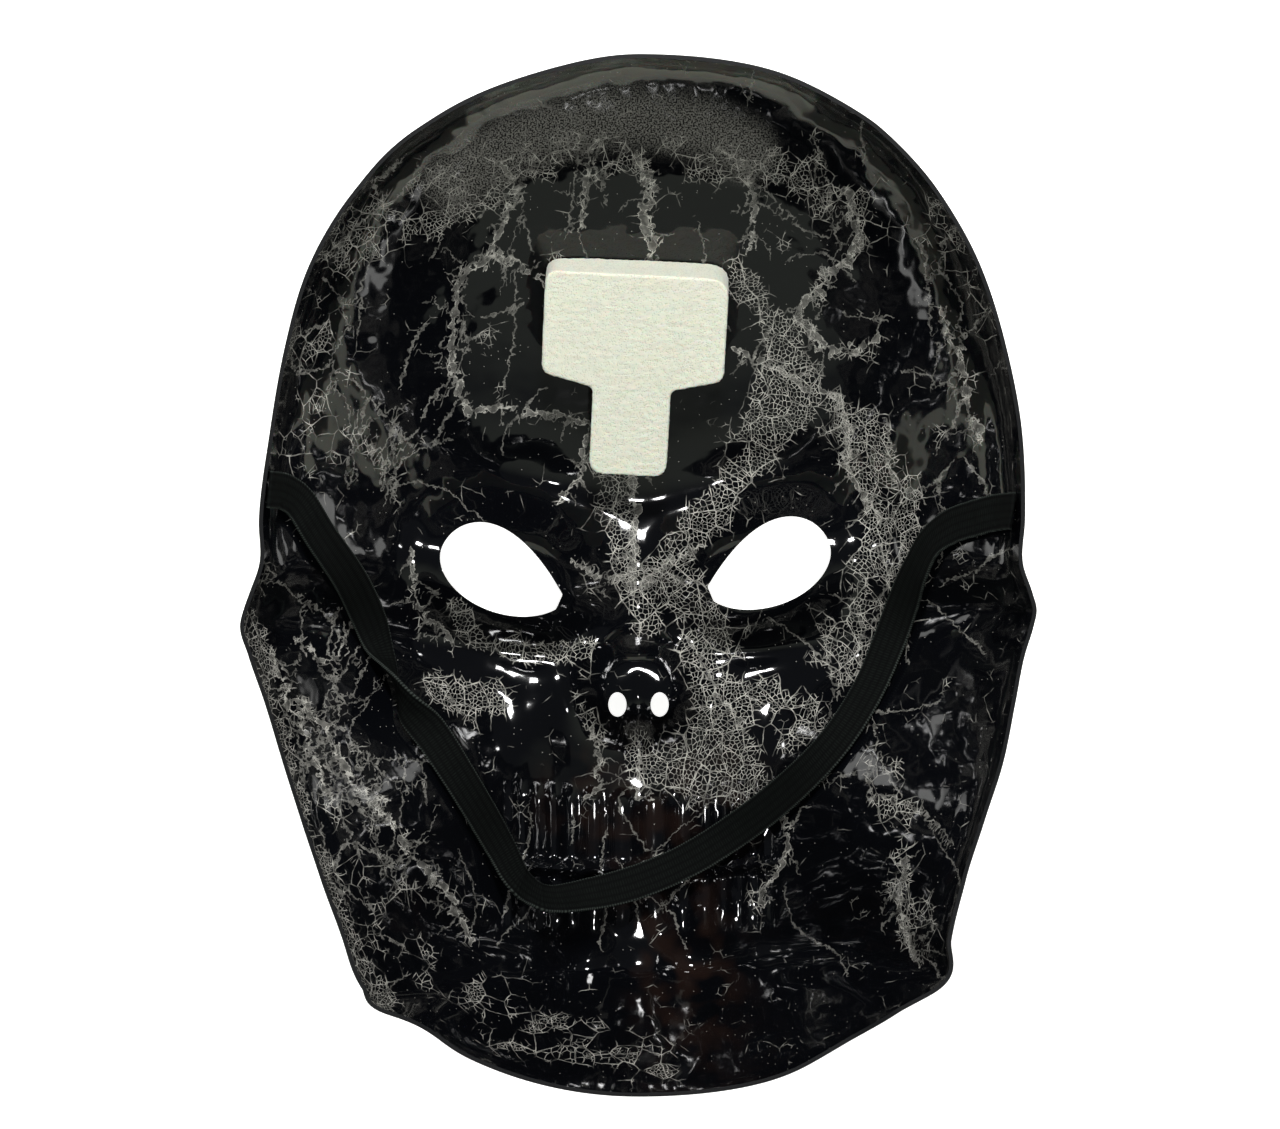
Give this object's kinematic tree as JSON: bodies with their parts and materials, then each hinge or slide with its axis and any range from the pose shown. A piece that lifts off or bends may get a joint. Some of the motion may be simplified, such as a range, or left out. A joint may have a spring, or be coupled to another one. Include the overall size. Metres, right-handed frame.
{
  "type": "skull mask",
  "caption": "Full face skull mask of thin glossy black plastic with a crackle finish, lying hollow side up, with a foam forehead pad and a flat elastic head strap.",
  "frame": {"origin": "centre of the mask's outline at the floor that its face lies on", "axes": "+X to the right of the hollow side as the picture shows it, +Y up the face from chin to crown, +Z from the face towards the wearer's head"},
  "size_m": [0.2073, 0.2721, 0.09],
  "materials": {
    "pvc_shell": "vacuum-formed black PVC, glossy, with a fine pale grey crackle",
    "foam": "cream open-cell polyurethane foam",
    "elastic": "black knitted elastic with lengthwise ribs"
  },
  "bodies": {
    "root": {"mask_shell": "pvc_shell", "foam_pad": "foam", "elastic_strap": "elastic"}
  },
  "joints": []
}
